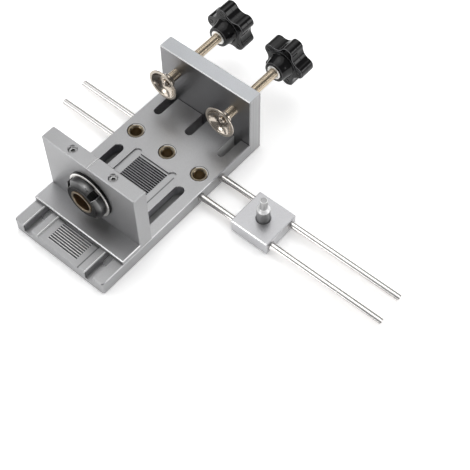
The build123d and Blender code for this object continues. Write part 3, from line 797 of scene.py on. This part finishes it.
@dataclass
class CamBushClamp:
    """The large bush in the jaw, its threaded sleeve, two washers and the slotted ring nut."""

    bore: float = 15.1
    mouth: float = 0.5
    nut_face: float = 27.0
    nut_chamfer: float = 2.6
    slots: int = 4
    slot_width: float = 6.0
    slot_depth: float = 3.2
    slot_turn: float = 52.0  # degrees from level to the first slot
    rubbed_edge: float = 0.4  # width of the bare line along a slot's edge
    rubbed_near: float = 0.9  # how bare it is on the side that is gripped most
    rubbed_far: float = 0.25
    rim_highlight: float = 0.25  # painted highlight on the edge between its side and its chamfer
    thread: float = 24.0
    sleeve_flange: float = 3.0
    rounding: float = 0.3
    disc_rounding: float = 1.4  # of the bright ring's edges
    segments: int = 144

    def ring(self, name: str, node: str, rounding: float) -> Object:
        """Make a flat ring on the thread, from the box of its solid.

        Args:
            name: the ring's name.
            node: the solid that it stands for.
            rounding: softening of its edges.

        Returns:
            The ring.
        """
        box = Extent(node)
        half, outer, inner = box.size[1] / 2, box.size[0] / 2, self.thread / 2
        profile = [(-half, inner), (-half, outer), (half, outer), (half, inner)]
        return lathe(name, profile, rounding, box.middle, Facing.FRONT, self.segments)

    def nut(self) -> Object:
        """Make the ring nut.

        At each place along the axis the outline is a circle, and inside a slot's angles it is the
        slot's flat floor. A slot's two walls are steps between one angle and the same angle again.

        Returns:
            The nut.
        """
        box = Extent("ring_nut")
        half, outer, thread = box.size[1] / 2, box.size[0] / 2, self.thread / 2
        floor = outer - self.slot_depth
        flank = math.asin(self.slot_width / 2 / outer)
        foot = math.atan(self.slot_width / 2 / floor)
        pitch = 2 * math.pi / self.slots
        edge = self.rubbed_edge / outer
        land = np.linspace(flank + 2 * edge, pitch - flank - 2 * edge, 37)
        local = np.concatenate([np.linspace(-foot, foot, 9), [flank, flank + edge], land,
                                [pitch - flank - edge, pitch - flank]])
        rubbed_and_highlight = np.zeros(len(local))
        rubbed_and_highlight[9], rubbed_and_highlight[-1] = self.rubbed_far, self.rubbed_near
        first = math.radians(self.slot_turn)
        angle = np.concatenate([local + first + k * pitch for k in range(self.slots)])
        slot_here = np.tile(np.arange(len(local)) < 9, self.slots)
        floor_radius = np.tile(floor / np.cos(np.clip(local, -foot, foot)), self.slots)
        levels = soften([(-half, thread), (-half, outer), (half - self.nut_chamfer, outer),
                         (half, self.nut_face / 2), (half, thread)], self.rounding)
        radius = np.where(slot_here & (levels[:, 1:] > floor_radius), floor_radius, levels[:, 1:])
        direction, across, up = (np.array(v, float) for v in Facing.FRONT.value)
        ring = np.cos(angle)[:, None] * across + np.sin(angle)[:, None] * up
        points = box.middle + levels[:, :1, None] * direction + radius[..., None] * ring
        outside = levels[:, 1:] > thread + 0.5
        wear = np.where(outside, np.tile(rubbed_and_highlight, self.slots), 0.0)
        # painted highlight along the edge between the nut's side and its chamfer
        wear[10:15] = np.maximum(wear[10:15], np.where(slot_here, 0.0, self.rim_highlight))
        return grid_piece("ring_nut_slotted", points, along=True, bevel=0.15, wear=wear)

    def make(self, finishes: Finishes) -> None:
        """Make and dress the bush and what clamps it.

        Args:
            finishes: the materials.
        """
        bush, sleeve = Extent("cam_bush"), Extent("bush_carrier")
        half, outer, bore = bush.size[1] / 2, bush.size[0] / 2, self.bore / 2
        profile = [(-half, bore), (-half, outer), (half, outer), (half, bore + self.mouth),
                   (half - self.mouth, bore)]
        dress(lathe("cam_guide_bush", profile, self.rounding, bush.middle, Facing.FRONT,
                    self.segments), finishes.cam_bush, "jaw", ("cam_bush",))
        half, flange, thread = sleeve.size[1] / 2, sleeve.size[0] / 2, self.thread / 2
        step = self.sleeve_flange - half
        profile = [(-half, outer), (-half, flange), (step, flange), (step, thread), (half, thread),
                   (half, outer)]
        dress(lathe("bush_sleeve", profile, self.rounding, sleeve.middle, Facing.FRONT,
                    self.segments), finishes.oxide, "jaw", ("bush_carrier",))
        dress(self.ring("collar_disc", "collar_washer", self.rounding), finishes.oxide,
              "jaw", ("collar_washer",))
        dress(self.ring("bright_disc", "bright_ring", self.disc_rounding), finishes.ring,
              "jaw", ("bright_ring",))
        dress(self.nut(), finishes.oxide, "jaw", ("ring_nut",))


@dataclass
class SocketScrews:
    """The two sunk screws in the top of the jaw, with hexagon sockets."""

    socket: float = 2.5
    socket_depth: float = 1.9
    head: float = 6.0
    head_height: float = 3.5
    shank: float = 4.4
    rounding: float = 0.25
    segments: int = 72

    def make(self, finishes: Finishes) -> None:
        """Make and dress both screws.

        Args:
            finishes: the materials.
        """
        sector = math.pi / 3
        beside = (steps_round(self.segments) + sector / 2) % sector - sector / 2
        hexagon = self.socket / 2 / np.cos(beside)  # half the width over flats, over the cosine
        for side in SIDES:
            box = Extent(f"index_screw_{side}")
            top, shank, head = box.size[2] / 2, self.shank / 2, self.head / 2
            under, floor = top - self.head_height, top - self.socket_depth
            outline = soften([(-top, 0), (-top, shank), (under, shank), (under, head), (top, head),
                              (top, self.socket * 0.75)], self.rounding, closed=False)
            profile = np.vstack([outline, [(top - 0.15, 0.0), (floor, 0.0), (floor - 0.5, 0.0)]])
            rows = np.vstack([outline[:, 1:2] * np.ones(self.segments), hexagon, hexagon,
                              np.zeros(self.segments)])
            points = turned(profile, box.middle, Facing.UP, self.segments, rows)
            dress(grid_piece(f"socket_screw_{side}", points), finishes.screw,
                  f"index_{side}", (f"index_screw_{side}",))


@dataclass
class ClampScrews:
    """The two clamp screws with their dished pads, retaining screws, inserts and star knobs."""

    crest: float = 7.8
    root: float = 7.35
    pitch: float = 1.25
    steps_in_pitch: int = 10
    journal: float = 5.0
    pad_wall: float = 1.0
    pad_dish: float = 4.4
    pad_floor: float = 8.5
    pad_rim: float = 2.2
    pad_hub: float = 11.0
    pad_hub_length: float = 3.0
    lobes: int = 5
    knob_radius: float = 19.4
    valley_radius: float = 9.0
    valley_floor: float = 14.1
    lobe_rounding: float = 4.5
    knob_thickness: float = 14.0
    knob_rounding: float = 1.1
    hub_front: float = 17.4
    hub_root: float = 20.6
    hub_length: float = 10.0
    insert: float = 12.0
    collar: float = 12.5  # radius of the low round step where the hub meets the star
    mark_place: float = 15.2  # from the axis to the ejector marks on the lobes
    mark_radius: float = 1.9
    mark_width: float = 0.5
    mark_height: float = 0.2
    rim_highlight: float = 0.6  # painted highlight on the star's and the hub's front edges
    turns: dict = field(default_factory=lambda: {"left": 54.0, "right": 86.6})

    def screw(self, side: str) -> Object:
        """Make a clamp screw with its real thread.

        The radius at a place and an angle depends on how far that place is from the thread's
        helix, in pitches: it rises and falls along two straight flanks, cut flat at crest and root.

        Args:
            side: left or right.

        Returns:
            The screw.
        """
        box = Extent(f"clamp_screw_{side}")
        start, end = box.low[1] - box.middle[1], box.high[1] - box.middle[1]
        shoulder = start + self.journal_length
        count = int((end - shoulder) / self.pitch * self.steps_in_pitch)
        along = np.linspace(shoulder, end, count)
        segments = 32
        angle = steps_round(segments)
        phase = (along[:, None] / self.pitch - angle / (2 * np.pi)) % 1.0
        height = np.clip(1.6 - 4.0 * np.abs(phase - 0.5) * 1.1, 0.0, 1.0)
        ease = np.clip((along - shoulder) / self.pitch, 0.0, 1.0)[:, None]
        radius = self.root / 2 + (self.crest - self.root) / 2 * height * ease
        ends = [(start, 0.0), (start, self.journal / 2), (shoulder, self.journal / 2)]
        profile = np.vstack([ends, np.column_stack([along, along]), [(end, 0.0)]])
        rows = [np.array(ends)[:, 1:2] * np.ones(segments), radius, np.zeros((1, segments))]
        points = turned(profile, box.middle, Facing.REAR, segments, np.vstack(rows))
        return grid_piece(f"threaded_screw_{side}", points, crease=60.0)

    @property
    def journal_length(self) -> float:
        """Length of the plain end that turns in the pad."""
        return self.pad_hub_length + self.pad_wall + 0.4

    def pad(self, side: str) -> Object:
        """Make a dished pressure pad: a flat rim, a curved dish, a flat floor and a short hub.

        Args:
            side: left or right.

        Returns:
            The pad.
        """
        box = Extent(f"pressure_pad_{side}")
        outer, depth = box.size[0] / 2, box.size[1]
        rim, wall, floor = outer - self.pad_rim, self.pad_wall, self.pad_floor / 2
        hole, hub = self.journal / 2 + 0.05, self.pad_hub / 2
        sweep = np.linspace(0, 1, 12)[1:-1]
        dish = [(self.pad_dish * math.sin(t * math.pi / 2) ** 0.8, rim + (floor - rim) * t)
                for t in sweep]
        back = [(y + wall * 0.9, r + wall * 0.5) for y, r in reversed(dish)]
        profile = [(0.0, outer), (0.0, rim), *dish, (self.pad_dish - 0.8, floor),
                   (self.pad_dish - 0.8, hole), (depth, hole), (depth, hub),
                   (self.pad_dish + 0.2, hub), *back, (wall, rim + wall * 0.4), (wall, outer)]
        return lathe(f"dished_pad_{side}", profile, 0.35, box.front, Facing.REAR, 128, steps=4)

    def retainer(self, side: str) -> Object:
        """Make the small domed screw in the middle of a pad, with a ring round its crown.

        Args:
            side: left or right.

        Returns:
            The screw.
        """
        box = Extent(f"pad_screw_{side}")
        radius, length = box.size[0] / 2, box.size[1]
        dome = [(0.35, 0.0), (0.5, 0.7), (0.0, 1.0), (0.05, 1.5), (0.3, 2.1), (0.9, radius - 0.1),
                (1.4, radius), (1.8, radius), (1.8, 1.25), (length, 1.25), (length, 0)]
        return lathe(f"pad_rivet_{side}", dome, 0.25, box.front, Facing.REAR, 64, closed=False)

    def star(self, segments: int, turn: float) -> np.ndarray:
        """Work out the radii of the star outline.

        From the middle of a lobe a rounded tip runs into a hollow round arc. Both are circles met
        by a ray from the axis: centre distance times the cosine of the angle, plus or minus the
        root of radius squared less distance times sine squared.

        Args:
            segments: steps round the star.
            turn: degrees to the middle of the first lobe.

        Returns:
            One radius for each step.
        """
        sector = 2 * np.pi / self.lobes
        angle = steps_round(segments) - math.radians(turn)
        off = np.abs((angle + sector / 2) % sector - sector / 2)
        hollow = self.valley_floor + self.valley_radius
        tip = self.knob_radius - self.lobe_rounding
        reach = self.valley_radius + self.lobe_rounding
        between = math.acos((tip ** 2 + hollow ** 2 - reach ** 2) / (2 * tip * hollow))
        middle = sector / 2 - between
        share = self.lobe_rounding / reach
        touch_x = tip * math.cos(middle) * (1 - share) + hollow * math.cos(sector / 2) * share
        touch_y = tip * math.sin(middle) * (1 - share) + hollow * math.sin(sector / 2) * share
        touch = math.atan2(touch_y, touch_x)
        beside = off - middle
        lobe = tip * np.cos(beside) + np.sqrt(np.maximum(
            self.lobe_rounding ** 2 - (tip * np.sin(beside)) ** 2, 0))
        valley_off = off - sector / 2
        valley = hollow * np.cos(valley_off) - np.sqrt(np.maximum(
            self.valley_radius ** 2 - (hollow * np.sin(valley_off)) ** 2, 0))
        return np.where(off < middle, self.knob_radius, np.where(off < touch, lobe, valley))

    def knob(self, side: str) -> Object:
        """Make a star knob: a tapered round hub that widens into a thick five lobed star.

        The outline at each place along the axis is a mix of a circle and the star, and the mould's
        parting line is a fine rib round the star's middle.

        Args:
            side: left or right.

        Returns:
            The knob.
        """
        at = Extent(f"clamp_screw_{side}").front
        at[1] = Extent(f"clamp_knob_{side}").low[1]
        segments = 320
        star = self.star(segments, self.turns[side])
        thick, edge, hub = self.knob_thickness, self.knob_rounding, self.hub_length
        neck, root = self.hub_front / 2, self.hub_root / 2
        # the hub's outline: place along the axis and radius
        front = [(0.0, self.insert / 2), (0.0, neck - 0.9), (0.25, neck - 0.3), (0.9, neck),
                 (hub * 0.5, (neck + root) / 2), (hub - 0.9, root), (hub - 0.4, root + 0.4),
                 (hub - 0.4, self.collar - 0.3), (hub - 0.3, self.collar - 0.05),
                 (hub - 0.05, self.collar), (hub, self.collar + 0.1)]
        # the star's: place along the axis and inset, from its front over the seam to its back
        bend = np.linspace(0, np.pi / 2, 7)
        seam, far = hub + thick / 2, hub + thick
        body = [(hub, edge + 0.4), (hub, edge + 0.2),
                *((hub + edge * (1 - math.cos(t)), edge * (1 - math.sin(t))) for t in bend),
                (hub + edge + 0.25, 0), (seam - 0.7, 0), (seam - 0.45, 0), (seam - 0.15, -0.06),
                (seam + 0.15, -0.06), (seam + 0.45, 0), (seam + 0.7, 0), (far - edge - 0.25, 0),
                *((far - edge * (1 - math.cos(t)), edge * (1 - math.sin(t))) for t in bend[::-1]),
                (far, 4.0)]
        crown = [(far - 0.05, 9.6), (far - 0.7, 8.8), (far - 0.9, 7.0), (far - 0.9, 0.0)]
        # each row: place along the axis, radius of the circle, share of star, inset from the star
        table = np.array([(y, r, 0, 0) for y, r in front] + [(y, 0, 1, d) for y, d in body]
                         + [(y, r, 0, 0) for y, r in crown])
        shape = table[:, 1:2] * (1 - table[:, 2:3]) + (star - table[:, 3:4]) * table[:, 2:3]
        shell = turned(table[:, :2], at, Facing.REAR, segments, shape)
        # painted highlight on the star's front edge, the collar step's edge and the hub's front
        # bevel
        wear = np.zeros((len(table), segments))
        wear[len(front) + 4:len(front) + 6] = wear[len(front) - 2] = self.rim_highlight
        wear[2] = self.rim_highlight / 2
        pieces = [grid_piece("shell", shell, crease=50.0, wear=wear)]
        inner, outer = self.mark_radius - self.mark_width, self.mark_radius
        rib = [(0.1, inner), (0.1, outer), (-self.mark_height, outer), (-self.mark_height, inner)]
        for lobe in range(self.lobes):
            angle = math.radians(self.turns[side] + lobe * 360 / self.lobes)
            middle = at + self.mark_place * np.array([math.sin(angle), 0, math.cos(angle)])
            middle[1] += hub
            pieces.append(lathe("mark", rib, 0.12, middle, Facing.REAR, 40, crease=50.0))
        return merged(f"star_knob_{side}", pieces)

    def bushing(self, side: str) -> Object:
        """Make the metal insert that shows in the hub, with a small step round the screw.

        Args:
            side: left or right.

        Returns:
            The insert.
        """
        box = Extent(f"knob_insert_{side}")
        outer, inner, length = self.insert / 2, self.crest / 2 + 0.1, box.size[1]
        profile = [(0.0, inner), (0.0, outer - 0.9), (0.5, outer), (length, outer), (length, inner)]
        return lathe(f"hub_insert_{side}", profile, 0.2, box.front, Facing.REAR)

    def make(self, finishes: Finishes) -> None:
        """Make and dress both clamp screws and what is on them.

        Args:
            finishes: the materials.
        """
        for side in SIDES:
            for make, node, finish, slot, body in (
                    (self.screw, "clamp_screw", finishes.nickel, "nickel_steel", "screw"),
                    (self.pad, "pressure_pad", finishes.pad, "nickel_steel", "pad"),
                    (self.retainer, "pad_screw", finishes.pad, "nickel_steel", "screw"),
                    (self.knob, "clamp_knob", finishes.phenolic, "black_plastic", "screw"),
                    (self.bushing, "knob_insert", finishes.ring, "nickel_steel", "screw")):
                dress(make(side), finish, f"{body}_{side}", (f"{node}_{side}",))


@dataclass
class StopRail:
    """Two guide rods and the locating pin of the stop block."""

    rod_chamfer: float = 0.6
    tail: float = 8.0
    tail_length: float = 4.0
    body: float = 10.0
    tip: float = 5.8
    tip_length: float = 8.8
    shoulder: float = 2.4

    def rod(self, which: str) -> Object:
        """Make a ground rod with chamfered ends.

        Args:
            which: front or rear.

        Returns:
            The rod.
        """
        box = Extent(f"guide_rod_{which}")
        half, radius, cut = box.size[0] / 2, box.size[2] / 2, self.rod_chamfer
        profile = [(-half, 0), (-half, radius - cut), (-half + cut, radius), (half - cut, radius),
                   (half, radius - cut), (half, 0)]
        return lathe(f"ground_rod_{which}", profile, 0.15, box.middle, Facing.RIGHT, 64,
                     closed=False)

    def pin(self) -> Object:
        """Make the stepped pin: tail, body, conical shoulder and tip, each edge softened.

        Returns:
            The pin.
        """
        box = Extent("locating_pin")
        at, top = np.array([*box.middle[:2], box.low[2]]), box.size[2]
        tail, body, tip = self.tail / 2, self.body / 2, self.tip / 2
        neck = top - self.tip_length
        profile = [(0, 0), (0, tail), (self.tail_length, tail), (self.tail_length, body),
                   (neck - self.shoulder, body), (neck, tip), (top - 0.5, tip), (top, tip - 0.5),
                   (top, 0)]
        return lathe("stepped_pin", profile, 0.25, at, Facing.UP, closed=False)

    def make(self, finishes: Finishes) -> None:
        """Make and dress rods and pin.

        Args:
            finishes: the materials.
        """
        for which in ("front", "rear"):
            dress(self.rod(which), finishes.rod, "rods", (f"guide_rod_{which}",))
        dress(self.pin(), finishes.pin, "pin", ("locating_pin",))


# --- studio ---


@dataclass
class Studio:
    """Camera, pale floor, soft lamps and the world round them."""

    camera_mm: tuple = (369.546, -318.984, 666.877)
    aim_mm: tuple = (82.040, 11.216, 0.0)
    roll: float = -0.929  # degrees that the photograph is turned about its line of sight
    focal_px: float = 1097.66
    frame_px: float = 470.0
    sensor_mm: float = 36.0
    floor_size: float = 6.0
    floor_colour: float = 0.86
    floor_seen: float = 1.48  # what the camera and mirrors see, so that the open floor is white
    ambient: float = 0.80  # even light on matt surfaces
    dim: float = 0.18  # the studio between its soft boxes, in mirrors
    # each soft box: where it is seen from the jig, degrees from its middle to its edge, brightness
    boxes: tuple = (((-0.36, 0.415, 0.836), 28.0, 0.80), ((-0.25, 0.30, 0.92), 5.0, 5.0),
                    ((0.836, 0.415, 0.36), 14.0, 3.2), ((-0.36, -0.835, 0.414), 14.0, 2.3),
                    ((-0.36, -0.81, 0.39), 4.0, 7.0))
    box_fade: float = 3.0  # degrees over which a soft box fades out
    # the dark side of the studio, in front and above, where nothing hangs
    dark: tuple = (((-0.36, -0.415, 0.836), 40.0, 0.38),)
    dark_fade: float = 14.0
    floor_under: tuple = (0.25, 0.42)  # painted shadow on the floor under the base, seen through its slots, darker on the left
    shadow_fade: float = 6.0
    floor_gap_mm: float = 0.1
    # each lamp: its name, place in metres, side in metres and power in watts
    lamps: tuple = (("overhead", (-0.25, 0.25, 1.3), 1.3, 4.0),
                    ("side", (-1.1, -0.6, 0.8), 0.8, 3.0))
    lamp_aim: tuple = (0.03, 0.0, 0.0)

    def camera(self) -> None:
        """Place the camera on the photograph's line of sight."""
        data = bpy.data.cameras.new("camera")
        data.sensor_width = self.sensor_mm
        data.lens = self.focal_px / self.frame_px * self.sensor_mm
        data.clip_end = 50
        camera = placed("camera", data)
        place, aim = Vector(self.camera_mm) * MM, Vector(self.aim_mm) * MM
        camera.location = place
        turn = (aim - place).to_track_quat("-Z", "Y")
        camera.rotation_mode = "QUATERNION"
        camera.rotation_quaternion = turn @ Quaternion((0, 0, 1), math.radians(self.roll))
        bpy.context.scene.camera = camera

    def floor(self) -> None:
        """Lay the pale floor, which keeps the shadow, with a painted shadow under the base."""
        half = self.floor_size / 2
        height = -self.floor_gap_mm * MM
        mesh = bpy.data.meshes.new("floor")
        corners = [(x * half, y * half, height) for x, y in ((-1, -1), (1, -1), (1, 1), (-1, 1))]
        mesh.from_pydata(corners, [], [(0, 1, 2, 3)])
        plane = placed("floor", mesh)
        surface = Surface("white_floor", "#FFFFFF", 1.0, metallic=0.0)
        tree = surface.tree
        path = add(tree, "LightPath")
        seen = path["Is Camera Ray"]
        for kind in ("Glossy", "Transmission"):
            seen = add(tree, "Math", {0: seen, 1: path[f"Is {kind} Ray"]},
                       operation="MAXIMUM")[0]
        white = add(tree, "MapRange", {0: seen, 3: self.floor_colour, 4: self.floor_seen})
        # painted shadow under the base, darker on its left half
        under = surface.within({"x": (-41.0, 41.0), "y": (-38.0, 80.0)}, self.shadow_fade)
        left, right = self.floor_under
        dark = add(tree, "MapRange", {0: surface.at[0], 1: -0.03, 2: 0.03, 3: left, 4: right})[0]
        shown = add(tree, "Mix", {0: under, 2: white[0], 3: dark})[0]
        matt = add(tree, "BsdfDiffuse", {"Color": shown})
        tree.links.new(matt[0], tree.nodes["Material Output"].inputs["Surface"])
        tree.nodes.remove(surface.shader)
        mesh.materials.append(surface.material)

    def light(self) -> None:
        """Hang the square soft lamps, each turned to the jig."""
        for name, place, size, watts in self.lamps:
            data = bpy.data.lights.new(name, "AREA")
            data.shape = "SQUARE"
            data.size = size
            data.energy = watts
            turn = (Vector(self.lamp_aim) - Vector(place)).to_track_quat("-Z", "Y")
            placed(name, data).matrix_world = Matrix.LocRotScale(Vector(place), turn, None)

    def discs(self, tree: NodeTree, direction: NodeSocket, level: float,
              discs: tuple, fade: float) -> NodeSocket:
        """Add the brightness of the surroundings: one level, and round discs of another.

        Args:
            tree: the world's node tree.
            direction: socket of the direction looked in.
            level: brightness outside the discs.
            discs: for each, its middle as a direction, its radius in degrees and its brightness.
            fade: degrees over which a disc's edge fades.

        Returns:
            The socket of the brightness.
        """
        total = level
        for middle, edge, brightness in discs:
            unit = Vector(middle).normalized()
            cosine = add(tree, "VectorMath", {0: direction, 1: unit},
                         operation="DOT_PRODUCT")["Value"]
            outer, inner = (math.cos(math.radians(edge + side * fade / 2)) for side in (1, -1))
            disc = add(tree, "MapRange", {0: cosine, 1: outer, 2: inner, 3: 0.0,
                                          4: brightness - level})
            total = add(tree, "Math", {0: total, 1: disc[0]})[0]
        return total

    def world(self) -> None:
        """Surround the scene with white to the camera and even light for matt surfaces.

        Mirrors see a dim studio with round soft boxes, each a rise in brightness with the cosine
        of the angle from its middle.
        """
        world = bpy.data.worlds.new("studio")
        bpy.context.scene.world = world
        world.use_nodes = True
        tree = world.node_tree
        tree.nodes.clear()
        path = add(tree, "LightPath")
        direction = add(tree, "TexCoord")["Generated"]
        matt = self.discs(tree, direction, self.ambient, self.dark, self.dark_fade)
        mirror = self.discs(tree, direction, self.dim, self.boxes, self.box_fade)
        lit = add(tree, "Mix", {"Factor": path["Is Glossy Ray"], 2: matt, 3: mirror})[0]
        strength = add(tree, "Mix", {"Factor": path["Is Camera Ray"], 2: lit, 3: 1.0})
        surround = add(tree, "Background", {"Color": (1, 1, 1, 1), "Strength": strength[0]})
        add(tree, "OutputWorld", {"Surface": surround[0]})

    def make(self) -> None:
        """Set up camera, floor, lamps and world."""
        self.camera()
        self.floor()
        self.world()
        self.light()
        bpy.context.scene.view_settings.view_transform = "Standard"


def main() -> None:
    """Set up the studio, then make and dress each sub-assembly."""
    logging.basicConfig(level=logging.INFO, format="%(name)s: %(message)s")
    Studio().make()
    finishes = Finishes()
    for assembly in (Plates(), DowelBushes(), CamBushClamp(), SocketScrews(), ClampScrews(),
                     StopRail()):
        LOG.info("%s", type(assembly).__name__)
        assembly.make(finishes)


if __name__ == "__main__":
    main()
